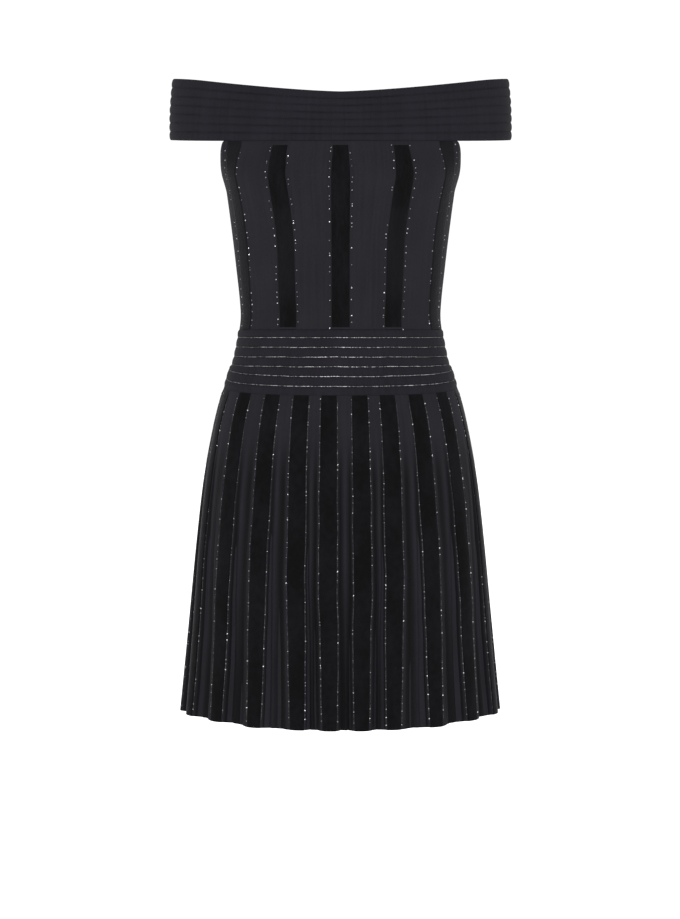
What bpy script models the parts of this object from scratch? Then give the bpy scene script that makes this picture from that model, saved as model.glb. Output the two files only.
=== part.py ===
"""A short off-shoulder dress in thick ribbed knit with velvet stripes, in the shape it has when it is worn.

Metres, +Z up. The front faces -Y. The origin is on the centre line of the figure, in the middle of the
band that holds the dress up. Each panel is a wall of cloth: an outer face with its ribs, stripes and
pleats, a plain inner face, and the cut edges between them.

Down a panel, fall is 0 at its upper edge and 1 at its lower edge. Round the figure, shares of half the
ring run from 0 at centre front to 1 at centre back. On the striped panels, places count stripes, whose
centres stand at whole numbers.
"""

import bisect
import functools
import math
from collections import namedtuple

import bmesh
import bpy
from mathutils import Vector

# Cloth
KNIT_THICKNESS = 0.0024
PLEAT_THICKNESS = 0.0018
RIB_DEPTH = 0.0013
VELVET_RISE = 0.0006
SEAM_GAP = 0.0003
SIDE_SEAM_SHARE = 0.0008

# Levels up the dress
UNDERARM = -0.0620
WAIST_SEAM = -0.2610
SKIRT_SEAM = -0.3290
SEAM_TILT_AHEAD = 0.09
SEAM_TILT_BEHIND = 0.03
HEM = -0.7210

# Sections of the figure from the top down. Fullness 2 is an ellipse, and more is squarer.
Section = namedtuple("Section", "height half_width front back fullness")
FIGURE = (
    Section(-0.030, 0.1390, 0.104, 0.098, 3.6),
    Section(-0.062, 0.1420, 0.108, 0.097, 3.3),
    Section(-0.090, 0.1366, 0.109, 0.094, 2.9),
    Section(-0.130, 0.1312, 0.103, 0.090, 2.5),
    Section(-0.188, 0.1244, 0.092, 0.086, 2.3),
    Section(-0.240, 0.1194, 0.087, 0.085, 2.2),
    Section(-0.261, 0.1209, 0.087, 0.087, 2.2),
    Section(-0.298, 0.1290, 0.089, 0.095, 2.4),
    Section(-0.338, 0.1420, 0.094, 0.104, 2.6),
    Section(-0.376, 0.1518, 0.100, 0.113, 2.6),
    Section(-0.440, 0.1636, 0.109, 0.124, 2.5),
    Section(-0.520, 0.1730, 0.118, 0.132, 2.4),
    Section(-0.620, 0.1828, 0.127, 0.140, 2.2),
    Section(-0.721, 0.1930, 0.134, 0.147, 2.1),
)
OUTLINE_STEPS = 96

# The cups, as a soft swell on each side of the front
CUP_SWELL = 0.009
CUP_ACROSS = 0.068
CUP_HEIGHT = -0.098
CUP_WIDE = 0.048
CUP_TALL = 0.044

# The band round the chest and the arms. It tilts up to the back, and its upper edge dips at the centre.
Edge = namedtuple("Edge", "half_width front back at_arm dip")
BAND_TOP = Edge(0.1985, 0.094, 0.088, 0.0374, 0.0170)
BAND_BOTTOM = Edge(0.2020, 0.106, 0.100, -0.0352, 0.0000)
BAND_TILT = 0.104
BAND_DIP_POWER = 1.4
BAND_SWELL = 0.0015
BAND_RIBS = 7
RIB_ROWS = (0.0, 0.2, 0.5, 0.8)

# The bodice stripes of half the figure, as shares of half the ring, and how far each bends over the cups:
# its bend starts and is whole at the first two of BEND_FALLS, and fades over the other two
Stripe = namedtuple("Stripe", "at_top at_foot bend")
BODICE_STRIPES = (
    Stripe(0.000, 0.000, 0.000),
    Stripe(0.200, 0.188, -0.014),
    Stripe(0.360, 0.385, -0.014),
    Stripe(0.640, 0.615, 0.000),
    Stripe(0.800, 0.810, 0.000),
    Stripe(1.000, 1.000, 0.000),
)
BEND_FALLS = (0.03, 0.15, 0.45, 0.87)
BODICE_VELVET = 0.0235
BODICE_STRETCH = 0.05
BODICE_FALLS = (0.0, 0.012, 0.03, 0.08, 0.14, 0.21, 0.29, 0.40, 0.54, 0.70, 0.85, 1.0)
BODICE_LINING_FALLS = (0.0, 0.06, 0.15, 0.28, 0.45, 0.7, 1.0)

# Where the bodice leaves the band for the armhole, as shares of half of each ring
JOIN_ON_BAND = 0.281
JOIN_ON_BODICE = 0.400
BLEND_TO_EDGE = 0.20

# The waistband: six ribs from the top, and a half rib that runs into the skirt seam
WAIST_RIBS = 6.5
WAIST_RIB_ROWS = (0.0, 0.25, 0.75)

# The skirt's pleats: a velvet stripe lies on the crown of each, and its width changes down the skirt
FRONT_PLEATS = 12
SKIRT_TURN = 0.011
VELVET_AT_TOP = 0.0200
VELVET_AT_MIDDLE = 0.0225
VELVET_AT_HEM = 0.0185
CROWN = 0.0012
PLEATS_START = 0.07
SKIRT_FALLS = (0.0, 0.010, 0.022, 0.10, 0.22, 0.36, 0.50, 0.64, 0.78, 0.90, 1.0)

# The stripes of half the skirt, from centre front to centre back: where each stands, as a share of half
# the ring, and how far its foot is lifted
Pleat = namedtuple("Pleat", "at_top at_hem lift")
SKIRT_STRIPES = (
    Pleat(0.045, 0.035, 0.0000),
    Pleat(0.127, 0.106, 0.0005),
    Pleat(0.214, 0.205, 0.0010),
    Pleat(0.308, 0.303, 0.0035),
    Pleat(0.405, 0.402, 0.0040),
    Pleat(0.500, 0.500, 0.0020),
    Pleat(0.595, 0.598, 0.0030),
    Pleat(0.688, 0.697, 0.0030),
    Pleat(0.779, 0.795, 0.0010),
    Pleat(0.868, 0.890, 0.0005),
    Pleat(0.955, 0.963, 0.0000),
)

# The folds of half the skirt, one before each stripe and one at centre back: the depth at the hem, and
# the share of it that the ridge inside the fold takes back
Fold = namedtuple("Fold", "depth ridge")
SKIRT_FOLDS = (
    Fold(0.0085, 0.30),
    Fold(0.0090, 0.35),
    Fold(0.0090, 0.55),
    Fold(0.0100, 0.30),
    Fold(0.0095, 0.35),
    Fold(0.0090, 0.40),
    Fold(0.0080, 0.00),
    Fold(0.0095, 0.35),
    Fold(0.0100, 0.45),
    Fold(0.0090, 0.35),
    Fold(0.0095, 0.40),
    Fold(0.0085, 0.35),
)

# Half a stripe and the gap after it, in places, and the columns of points: across a stripe from -1 to
# 1, and across a gap from 0 to 1
HALF_STRIPE = 0.28
GAP = 1.0 - 2.0 * HALF_STRIPE
PILE_EDGE = 0.88
PILE_START = 0.015
STRIPE_COLUMNS = (-1.0, -PILE_EDGE, 0.0, PILE_EDGE, 1.0)
STRIPE_LINING_COLUMNS = (-0.9, 0.9)
FOLD_COLUMNS = (0.13, 0.25, 0.5, 0.75, 0.87)
FOLD_LINING_COLUMNS = (0.25, 0.5, 0.75)
BODICE_GAP_COLUMNS = (0.33, 0.67)
BODICE_GAP_LINING_COLUMNS = (0.5,)
BODICE_SEAM_COLUMNS = (0.06, 0.18, 0.33, 0.67, 0.82, 0.94)

# The columns and rows of the bands, half the ring at a time
BAND_COLUMNS = 26
BAND_LINING_COLUMNS = 20
BAND_LINING_ROWS = 6
WAIST_COLUMNS = 22
WAIST_LINING_COLUMNS = 18
WAIST_LINING_ROWS = 4

Look = namedtuple("Look", "name colour roughness")
RIBBED_KNIT = Look("ribbed_knit", (0.022, 0.021, 0.025, 1.0), 0.85)
STRIPED_KNIT = Look("striped_knit", (0.019, 0.018, 0.021, 1.0), 0.90)


def lerp(start, end, share):
    return start + (end - start) * share


def eased(share):
    """0 to 1 with soft ends."""
    share = min(1.0, max(0.0, share))
    return share * share * (3.0 - 2.0 * share)


@functools.lru_cache(maxsize=None)
def section_at(height):
    """The figure's section at a height, on a smooth curve through the rows of FIGURE."""
    last = len(FIGURE) - 1
    end = next((number for number, row in enumerate(FIGURE) if row.height <= height), last)
    end = max(1, end)
    before, above, below, after = (FIGURE[min(max(row, 0), last)] for row in range(end - 2, end + 2))
    span = below.height - above.height
    t = min(1.0, max(0.0, (height - above.height) / span))
    values = []
    for column in range(1, len(Section._fields)):
        slope_above = (below[column] - before[column]) / (below.height - before.height) * span
        slope_below = (after[column] - above[column]) / (after.height - above.height) * span
        values.append(
            (2.0 * t**3 - 3.0 * t**2 + 1.0) * above[column]
            + (t**3 - 2.0 * t**2 + t) * slope_above
            + (3.0 * t**2 - 2.0 * t**3) * below[column]
            + (t**3 - t**2) * slope_below
        )
    return Section(height, *values)


@functools.lru_cache(maxsize=None)
def half_outline(half_width, front, back, fullness):
    """The right half of a section from centre front to centre back, and the distance to each of its points."""
    points = []
    for step in range(OUTLINE_STEPS + 1):
        turn = math.pi * step / OUTLINE_STEPS
        across = abs(math.sin(turn)) ** (2.0 / fullness)
        ahead = math.copysign(abs(math.cos(turn)) ** (2.0 / fullness), math.cos(turn))
        points.append(Vector((half_width * across, -ahead * (front if ahead > 0.0 else back))))
    distances = [0.0]
    for near, far in zip(points, points[1:]):
        distances.append(distances[-1] + (far - near).length)
    return points, distances


def on_outline(outline, share):
    """A point of a section, at a share of half the ring. Shares are minus on the left."""
    points, distances = outline
    share = (share + 1.0) % 2.0 - 1.0
    distance = abs(share) * distances[-1]
    step = min(bisect.bisect_right(distances, distance), OUTLINE_STEPS)
    t = (distance - distances[step - 1]) / (distances[step] - distances[step - 1])
    point = points[step - 1].lerp(points[step], t)
    return Vector((math.copysign(point.x, share), point.y))


def figure_outline(height):
    return half_outline(*section_at(round(height, 4))[1:])


def whole_ring(half):
    """Half a ring of shares, and its mirror image after it."""
    return half + [2.0 - share for share in reversed(half) if 0.0 < share < 1.0]


def panel_share(place, ring, half_width):
    """The share of the ring at a place: a stripe keeps its width, and the gap takes the rest."""
    number = math.floor(place + 0.5)
    side = (place - number) / HALF_STRIPE

    def centre(stripe):
        turns, index = divmod(stripe, len(ring))
        return ring[index] + 2.0 * turns

    if abs(side) <= 1.0:
        return centre(number) + side * half_width
    start = number if side > 0.0 else number - 1
    across = (place - start - HALF_STRIPE) / GAP
    return lerp(centre(start) + half_width, centre(start + 1) - half_width, across)


def band_point(share, fall):
    """The band, without its ribs."""
    edge = Edge(*(lerp(top, bottom, fall) for top, bottom in zip(BAND_TOP, BAND_BOTTOM)))
    swell = BAND_SWELL * 4.0 * fall * (1.0 - fall)
    outline = half_outline(edge.half_width + swell, edge.front + swell, edge.back + swell, 2.0)
    flat = on_outline(outline, share)
    centred = 1.0 - min(1.0, abs(flat.x) / edge.half_width) ** BAND_DIP_POWER
    return Vector((flat.x, flat.y, edge.at_arm + BAND_TILT * flat.y - edge.dip * centred))


def band_rib(share, fall):
    return RIB_DEPTH * abs(math.sin(math.pi * fall * BAND_RIBS))


def bodice_edge(share):
    """The bodice's upper edge: along the band, then down round the armhole to the underarm."""
    share = (share + 1.0) % 2.0 - 1.0
    ahead = abs(share) <= 0.5
    from_centre = abs(share) if ahead else 1.0 - abs(share)
    on_band = JOIN_ON_BAND * min(1.0, from_centre / JOIN_ON_BODICE)
    seam = band_point(math.copysign(on_band if ahead else 1.0 - on_band, share), 1.0)
    seam.z -= SEAM_GAP
    turn = max(0.0, from_centre - JOIN_ON_BODICE) / (0.5 - JOIN_ON_BODICE) * math.pi / 2.0
    side = math.copysign(section_at(UNDERARM).half_width, share)
    return Vector((
        lerp(seam.x, side, math.sin(turn)),
        seam.y * math.cos(turn),
        lerp(seam.z, UNDERARM, eased(turn / (math.pi / 2.0))),
    ))


def cup(x, y, height):
    """How far the cups swell forward."""
    across = (abs(x) - CUP_ACROSS) / CUP_WIDE
    up = (height - CUP_HEIGHT) / CUP_TALL
    return CUP_SWELL * math.exp(-across * across - up * up) if y < 0.0 else 0.0


def bodice_point(place, fall):
    """The bodice, without its stripes."""
    centre_height = lerp(bodice_edge(0.0).z, WAIST_SEAM, fall)
    stretch = 1.0 + BODICE_STRETCH * math.exp(-((centre_height - CUP_HEIGHT) / CUP_TALL) ** 2)
    half_width = BODICE_VELVET / 2.0 * stretch / figure_outline(centre_height)[1][-1]
    starts, whole, fades, ends = BEND_FALLS
    bent = eased((fall - starts) / (whole - starts)) * (1.0 - eased((fall - fades) / (ends - fades)))
    ring = whole_ring([lerp(row.at_top, row.at_foot, fall) + row.bend * bent for row in BODICE_STRIPES])
    share = panel_share(place, ring, half_width)
    edge = bodice_edge(share)
    height = lerp(edge.z, WAIST_SEAM + SEAM_GAP / 2.0, fall)
    flat = on_outline(figure_outline(height), share)
    kept = eased(fall / BLEND_TO_EDGE)
    x, y = lerp(edge.x, flat.x, kept), lerp(edge.y, flat.y, kept)
    return Vector((x, y - cup(x, y, height) * kept, height))


def pile(place, fall):
    """The velvet stripes, which stand a little proud and start just below the seam above them."""
    on_stripe = abs(place - math.floor(place + 0.5)) <= HALF_STRIPE * PILE_EDGE + 1e-6
    return VELVET_RISE if on_stripe and fall > PILE_START else 0.0


def seam_tilt(y):
    """How far the skirt seam drops to the front and rises to the back."""
    return y * (SEAM_TILT_AHEAD if y < 0.0 else SEAM_TILT_BEHIND)


def waist_point(share, fall):
    """The waistband, without its ribs. Its lower ribs tilt with the skirt seam."""
    height = lerp(WAIST_SEAM - SEAM_GAP / 2.0, SKIRT_SEAM + SEAM_GAP / 2.0, fall)
    flat = on_outline(figure_outline(height), share)
    return Vector((flat.x, flat.y, height + seam_tilt(flat.y) * eased((fall - 0.5) / 0.25)))


def waist_rib(share, fall):
    return RIB_DEPTH * abs(math.sin(math.pi * fall * WAIST_RIBS))


def fold_depth(across, fold):
    """How deep the cloth lies in a fold: two troughs with a ridge between them."""
    inward = 2.0 * min(across, 1.0 - across)
    if inward < 0.5:
        return fold.depth * eased(2.0 * inward)
    return fold.depth * (1.0 - fold.ridge * eased(2.0 * inward - 1.0))


def skirt_inset(place):
    """How far inside the pleats' crowns the cloth lies at the hem, and how far the hem is lifted there."""
    number = math.floor(place + 0.5)
    side = (place - number) / HALF_STRIPE
    stripes = SKIRT_STRIPES + SKIRT_STRIPES[::-1]
    folds = SKIRT_FOLDS + SKIRT_FOLDS[-2:0:-1]
    if abs(side) <= 1.0:
        return CROWN * side * side, stripes[number % len(stripes)].lift
    start = number if side > 0.0 else number - 1
    across = (place - start - HALF_STRIPE) / GAP
    near, far = (stripes[stripe % len(stripes)].lift for stripe in (start, start + 1))
    return CROWN + fold_depth(across, folds[(start + 1) % len(folds)]), lerp(near, far, across)


def velvet_width(fall):
    """The skirt's stripes widen to the middle of their length and narrow again to the hem."""
    ends = lerp(VELVET_AT_TOP, VELVET_AT_HEM, fall)
    return ends + (VELVET_AT_MIDDLE - (VELVET_AT_TOP + VELVET_AT_HEM) / 2.0) * math.sin(math.pi * fall)


def skirt_point(place, fall):
    """The skirt, without its stripes."""
    height = lerp(SKIRT_SEAM - SEAM_GAP / 2.0, HEM, fall)
    outline = figure_outline(height)
    half_width = velvet_width(fall) / 2.0 / outline[1][-1]
    ring = whole_ring([lerp(row.at_top, row.at_hem, fall) for row in SKIRT_STRIPES])
    share = panel_share(place, ring, half_width) + SKIRT_TURN
    inset, lift = skirt_inset(place)
    flat = on_outline(outline, share)
    ahead, behind = on_outline(outline, share + half_width), on_outline(outline, share - half_width)
    outward = Vector((ahead.y - behind.y, behind.x - ahead.x)).normalized()
    flat -= outward * inset * eased((fall - PLEATS_START) / (1.0 - PLEATS_START))
    tilt = seam_tilt(flat.y) * (1.0 - fall)
    return Vector((flat.x, flat.y, height + tilt + lift * fall**4))


def moved_out(point, place, fall, distance):
    """A point of a panel, moved level and square to the cloth: out, or in where the distance is minus."""
    step = 0.01
    along = point(place + step, fall) - point(place - step, fall)
    outward = Vector((along.y, -along.x, 0.0)).normalized()
    return point(place, fall) + outward * distance


def add_points(mesh, point, height_above, places, falls):
    """A grid of points on a face of a panel, a row for each fall."""
    return [
        [mesh.verts.new(moved_out(point, place, fall, height_above(place, fall))) for place in places]
        for fall in falls
    ]


def add_faces(mesh, grid):
    for above, below in zip(grid, grid[1:]):
        for column in range(len(above) - 1):
            mesh.faces.new((above[column], below[column], below[column + 1], above[column + 1]))


def close_edge(mesh, outer, lining):
    """Fill a cut edge between the outer face and the lining, which has fewer points."""
    near, far = 0, 0
    while near < len(outer) - 1 or far < len(lining) - 1:
        if (near + 1) * (len(lining) - 1) <= (far + 1) * (len(outer) - 1):
            mesh.faces.new((outer[near], outer[near + 1], lining[far]))
            near += 1
        else:
            mesh.faces.new((outer[near], lining[far + 1], lining[far]))
            far += 1


def cloth_wall(name, look, point, relief, thickness, places, falls, lining_places, lining_falls):
    """A panel of cloth. Relief is what stands on its outer face, and the lining face is plain."""
    mesh = bmesh.new()
    outer = add_points(mesh, point, relief, places, falls)
    lining = add_points(mesh, point, lambda place, fall: -thickness, lining_places, lining_falls)
    add_faces(mesh, outer)
    add_faces(mesh, lining)
    for end in (0, -1):
        close_edge(mesh, outer[end], lining[end])
        close_edge(mesh, [row[end] for row in outer], [row[end] for row in lining])
    bmesh.ops.triangulate(mesh, faces=mesh.faces)
    bmesh.ops.recalc_face_normals(mesh, faces=mesh.faces)
    data = bpy.data.meshes.new(name)
    mesh.to_mesh(data)
    mesh.free()
    data.shade_smooth()
    data.set_sharp_from_angle(angle=math.radians(50.0))
    data.materials.append(material(look))
    panel = bpy.data.objects.new(name, data)
    bpy.data.collections["off_shoulder_dress"].objects.link(panel)


def material(look):
    if look.name in bpy.data.materials:
        return bpy.data.materials[look.name]
    cloth = bpy.data.materials.new(look.name)
    cloth.use_nodes = True
    shader = cloth.node_tree.nodes["Principled BSDF"]
    shader.inputs["Base Color"].default_value = look.colour
    shader.inputs["Roughness"].default_value = look.roughness
    shader.inputs["Metallic"].default_value = 0.0
    return cloth


def even_shares(start, columns):
    """Evenly spaced shares over half the ring, held back from both side seams."""
    start, end = start + SIDE_SEAM_SHARE / 2.0, start + 1.0 - SIDE_SEAM_SHARE / 2.0
    return [lerp(start, end, column / columns) for column in range(columns + 1)]


def even_falls(rows):
    return [row / rows for row in range(rows + 1)]


def rib_falls(ribs, rows):
    falls = [(rib + row) / ribs for rib in range(math.ceil(ribs)) for row in rows if rib + row < ribs]
    return falls + [1.0]


def striped_places(start, end, ring_count, stripe_columns, gap_columns, seam_columns):
    """The columns of a striped panel, from just inside one side seam to just inside the other."""
    gap = SIDE_SEAM_SHARE * ring_count / 2.0
    places = []
    for number in range(math.floor(start), math.ceil(end) + 1):
        places += [number + side * HALF_STRIPE for side in stripe_columns]
        columns = seam_columns if number < start < number + 1 or number < end < number + 1 else gap_columns
        places += [number + HALF_STRIPE + across * GAP for across in columns]
    inside = [place for place in places if start + gap < place < end - gap]
    return [start + gap / 2.0, *inside, end - gap / 2.0]


def build_band():
    for name, start in (("band_front", -0.5), ("band_back", 0.5)):
        cloth_wall(
            name, RIBBED_KNIT, band_point, band_rib, KNIT_THICKNESS,
            even_shares(start, BAND_COLUMNS), rib_falls(BAND_RIBS, RIB_ROWS),
            even_shares(start, BAND_LINING_COLUMNS), even_falls(BAND_LINING_ROWS),
        )


def build_bodice():
    around = 2 * (len(BODICE_STRIPES) - 1)
    for name, start in (("bodice_front", -around / 4.0), ("bodice_back", around / 4.0)):
        end = start + around / 2.0
        cloth_wall(
            name, STRIPED_KNIT, bodice_point, pile, KNIT_THICKNESS,
            striped_places(start, end, around, STRIPE_COLUMNS, BODICE_GAP_COLUMNS, BODICE_SEAM_COLUMNS),
            BODICE_FALLS,
            striped_places(
                start, end, around, STRIPE_LINING_COLUMNS, BODICE_GAP_LINING_COLUMNS, BODICE_SEAM_COLUMNS,
            ),
            BODICE_LINING_FALLS,
        )


def build_waistband():
    for name, start in (("waistband_front", -0.5), ("waistband_back", 0.5)):
        cloth_wall(
            name, RIBBED_KNIT, waist_point, waist_rib, KNIT_THICKNESS,
            even_shares(start, WAIST_COLUMNS), rib_falls(WAIST_RIBS, WAIST_RIB_ROWS),
            even_shares(start, WAIST_LINING_COLUMNS), even_falls(WAIST_LINING_ROWS),
        )


def build_skirt():
    around = 2 * len(SKIRT_STRIPES)
    left, right = -FRONT_PLEATS / 2 - 0.5, FRONT_PLEATS / 2 - 0.5
    for name, start, end in (("skirt_front", left, right), ("skirt_back", right, left + around)):
        cloth_wall(
            name, STRIPED_KNIT, skirt_point, pile, PLEAT_THICKNESS,
            striped_places(start, end, around, STRIPE_COLUMNS, FOLD_COLUMNS, FOLD_COLUMNS),
            SKIRT_FALLS,
            striped_places(
                start, end, around, STRIPE_LINING_COLUMNS, FOLD_LINING_COLUMNS, FOLD_LINING_COLUMNS,
            ),
            SKIRT_FALLS,
        )


def main():
    for leftover in list(bpy.data.objects):
        bpy.data.objects.remove(leftover)
    bpy.context.scene.collection.children.link(bpy.data.collections.new("off_shoulder_dress"))
    build_band()
    build_bodice()
    build_waistband()
    build_skirt()


main()
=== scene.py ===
"""The looks of a short off-shoulder dress in thick ribbed knit with velvet stripes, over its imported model.

Metres, +Z up, the front facing -Y, as in the model. Every panel is a thin closed shell of cloth on its
solid's form, with its ribs, stripes, pleats and creases. Beads and metallic threads are sewn on it.

Down a panel, fall is 0 at its upper edge and 1 at its lower edge. Round the figure, shares of half the
ring run from 0 at centre front to 1 at centre back. On the striped panels, places count stripes, whose
centres stand at whole numbers.
"""

import math
from collections import namedtuple

import bpy
import numpy as np
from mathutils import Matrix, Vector


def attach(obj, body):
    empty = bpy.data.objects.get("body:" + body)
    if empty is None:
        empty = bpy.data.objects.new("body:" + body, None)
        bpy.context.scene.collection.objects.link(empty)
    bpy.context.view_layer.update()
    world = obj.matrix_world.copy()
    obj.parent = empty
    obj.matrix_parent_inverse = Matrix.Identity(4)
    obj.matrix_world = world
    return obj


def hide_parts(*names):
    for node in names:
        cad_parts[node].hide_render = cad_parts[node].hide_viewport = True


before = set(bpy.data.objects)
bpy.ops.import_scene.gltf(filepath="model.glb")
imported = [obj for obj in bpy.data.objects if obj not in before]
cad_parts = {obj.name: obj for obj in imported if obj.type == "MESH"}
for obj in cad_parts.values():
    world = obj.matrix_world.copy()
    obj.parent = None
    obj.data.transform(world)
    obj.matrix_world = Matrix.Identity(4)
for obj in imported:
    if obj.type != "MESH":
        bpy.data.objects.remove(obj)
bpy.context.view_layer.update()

bl_info = {
    "name": "Off-Shoulder Dress",
    "version": (1, 0, 0),
    "blender": (4, 5, 0),
    "location": "View3D > Sidebar > Dress",
    "description": "Makes the cloth, beads, threads and studio of a short off-shoulder dress",
    "category": "Add Mesh",
}

# Levels up the dress
UNDERARM = -0.0620
WAIST_SEAM = -0.2610
SKIRT_SEAM = -0.3290
HEM = -0.7210

# The seams between the panels. The skirt seam is tilted, and SEAM_DROP keeps the waistband's ribs evenly
# spaced above it at centre front. The lap and the roll close the seams: the lining reaches into the side
# seams by the lap, and upper edges are rounded up by the roll.
SEAM_GAP = 0.0003
SIDE_SEAM_SHARE = 0.0008
SEAM_TILT_AHEAD = 0.09
SEAM_TILT_BEHIND = 0.03
SEAM_DROP = 0.0081
SEAM_LAP = 0.0003
SEAM_ROLL = 0.0005
HEM_ROLL = 0.0004

# Sections of the figure from the top down. Fullness 2 is an ellipse, and more is squarer.
Section = namedtuple("Section", "height half_width front back fullness")
FIGURE = (
    Section(-0.030, 0.1390, 0.104, 0.098, 3.6),
    Section(-0.062, 0.1420, 0.108, 0.097, 3.3),
    Section(-0.090, 0.1366, 0.109, 0.094, 2.9),
    Section(-0.130, 0.1312, 0.103, 0.090, 2.5),
    Section(-0.188, 0.1244, 0.092, 0.086, 2.3),
    Section(-0.240, 0.1194, 0.087, 0.085, 2.2),
    Section(-0.261, 0.1209, 0.087, 0.087, 2.2),
    Section(-0.298, 0.1290, 0.089, 0.095, 2.4),
    Section(-0.338, 0.1420, 0.094, 0.104, 2.6),
    Section(-0.376, 0.1518, 0.100, 0.113, 2.6),
    Section(-0.440, 0.1636, 0.109, 0.124, 2.5),
    Section(-0.520, 0.1730, 0.118, 0.132, 2.4),
    Section(-0.620, 0.1828, 0.127, 0.140, 2.2),
    Section(-0.721, 0.1930, 0.134, 0.147, 2.1),
)
SECTION_STEP = 0.001
OUTLINE_STEPS = 192
RING_STEPS = 512

# The cups, as a soft swell on each side of the front
CUP_SWELL = 0.009
CUP_ACROSS = 0.068
CUP_HEIGHT = -0.098
CUP_WIDE = 0.048
CUP_TALL = 0.044

# The band round the chest and the arms. Its upper corners drop by BAND_CORNER.
Edge = namedtuple("Edge", "half_width front back at_arm dip")
BAND_TOP = Edge(0.1985, 0.094, 0.088, 0.0374, 0.0170)
BAND_BOTTOM = Edge(0.2020, 0.106, 0.100, -0.0363, -0.0011)
BAND_CORNER = 0.0020
BAND_TILT = 0.104
BAND_DIP_POWER = 1.4
BAND_SWELL = 0.0015
BAND_LEVELS = 74
BAND_RIBS = 7

# The waistband's ribs, the first and last of which run partly into its seams
WAIST_RIBS = 6.74
WAIST_RIB_START = 0.16
WAIST_GROOVES = range(1, 7)
RIB_BEND = 0.035
RIB_BEND_WAVES = 31.0
RIB_BEND_SEED = 5.0

# The bodice stripes of half the figure, as shares of half the ring, and how far each bends over the cups:
# its bend starts and is whole at the first two of BEND_FALLS, and fades over the other two
Stripe = namedtuple("Stripe", "at_top at_foot bend")
BODICE_STRIPES = (
    Stripe(0.000, 0.000, 0.000),
    Stripe(0.200, 0.188, -0.014),
    Stripe(0.360, 0.385, -0.014),
    Stripe(0.640, 0.615, 0.000),
    Stripe(0.800, 0.810, 0.000),
    Stripe(1.000, 1.000, 0.000),
)
BEND_FALLS = (0.03, 0.15, 0.45, 0.87)
BODICE_VELVET = 0.0235
BODICE_VELVET_FALLS = (0.020, 0.992)
BODICE_STRETCH = 0.05
JOIN_ON_BAND = 0.281
JOIN_ON_BODICE = 0.400
BLEND_TO_EDGE = 0.20

# The skirt's pleats: where each velvet stripe stands, and how far its foot is lifted
FRONT_PLEATS = 12
SKIRT_TURN = 0.011
VELVET_AT_TOP = 0.0200
VELVET_AT_MIDDLE = 0.0225
VELVET_AT_HEM = 0.0185
CROWN = 0.0012
Pleat = namedtuple("Pleat", "at_top at_hem lift")
SKIRT_STRIPES = (
    Pleat(0.045, 0.035, 0.0000),
    Pleat(0.127, 0.106, 0.0005),
    Pleat(0.214, 0.205, 0.0010),
    Pleat(0.308, 0.303, 0.0035),
    Pleat(0.405, 0.402, 0.0040),
    Pleat(0.500, 0.500, 0.0020),
    Pleat(0.595, 0.598, 0.0030),
    Pleat(0.688, 0.697, 0.0030),
    Pleat(0.779, 0.795, 0.0010),
    Pleat(0.868, 0.890, 0.0005),
    Pleat(0.955, 0.963, 0.0000),
)

# The folds of half the skirt, one before each stripe and one at centre back: the depth at the hem, the
# share of it that the ridge inside takes back, the fall where the fold starts, and how far the ridge
# stands to one side
Fold = namedtuple("Fold", "depth ridge start lean")
SKIRT_FOLDS = (
    Fold(0.0085, 0.30, 0.05, 0.00),
    Fold(0.0090, 0.35, 0.03, -0.14),
    Fold(0.0090, 0.60, 0.06, -0.17),
    Fold(0.0100, 0.30, 0.02, -0.15),
    Fold(0.0095, 0.35, 0.05, -0.18),
    Fold(0.0090, 0.40, 0.04, -0.15),
    Fold(0.0080, 0.10, 0.08, -0.05),
    Fold(0.0095, 0.35, 0.03, 0.14),
    Fold(0.0100, 0.45, 0.05, 0.17),
    Fold(0.0090, 0.35, 0.02, 0.15),
    Fold(0.0095, 0.40, 0.06, 0.16),
    Fold(0.0085, 0.35, 0.04, 0.00),
)

# How much lower the hem hangs in the folds and under the velvet, and how far the stripes sway
FOLD_SLACK = 0.06
VELVET_HANG = 0.0003
STRIPE_SWAY = 0.0022

# Half a stripe and the gap after it, in places, and the edge and shoulder of the pile across half a stripe
HALF_STRIPE = 0.28
GAP = 1.0 - 2.0 * HALF_STRIPE
PILE_EDGE = 0.88
PILE_SHOULDER = 0.07

# Points across a stripe, a gap and the bands, and down each panel
PILE_COLUMNS = (
    -1.0, -0.94, -0.88, -0.85, -0.81, -0.7, -0.45, -0.15, 0.15, 0.45, 0.7, 0.81, 0.85, 0.88, 0.94, 1.0,
)
PILE_STRIPE_COLUMNS = (2, 13)
BODICE_GAP_COLUMNS = 28
SKIRT_GAP_COLUMNS = 17
BODICE_ROWS = 96
SKIRT_ROWS = 150
BAND_COLUMNS = 200
WAIST_COLUMNS = 200
RIB_ROWS = 12
LINING_STEP = 4

# Width and length of each panel as worn, for its UV map
BAND_MAP = (0.310, 0.074)
WAISTBAND_MAP = (0.210, 0.068)
BODICE_MAP = (0.390, 0.200)
SKIRT_MAP = (0.330, 0.387)

# Long soft creases on the bodice: the place and fall of the middle, the half length down the
# panel and the half width across it as fall and places, the slant in places, and the depth in metres
Crease = namedtuple("Crease", "place fall length width slant depth")
BODICE_CREASES = (
    Crease(-1.60, 0.83, 0.10, 0.10, 0.30, -0.0011),
    Crease(-0.75, 0.90, 0.07, 0.12, -0.22, -0.0008),
    Crease(0.55, 0.87, 0.09, 0.09, 0.26, -0.0010),
    Crease(1.72, 0.80, 0.11, 0.10, -0.28, -0.0011),
    Crease(-1.30, 0.14, 0.09, 0.13, 0.35, -0.0009),
    Crease(1.42, 0.17, 0.08, 0.12, -0.30, -0.0010),
    Crease(3.30, 0.82, 0.12, 0.12, 0.30, -0.0012),
    Crease(4.60, 0.88, 0.08, 0.10, -0.20, -0.0009),
    Crease(5.62, 0.78, 0.12, 0.11, 0.24, -0.0011),
    Crease(6.75, 0.86, 0.09, 0.12, -0.32, -0.0010),
)

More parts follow.
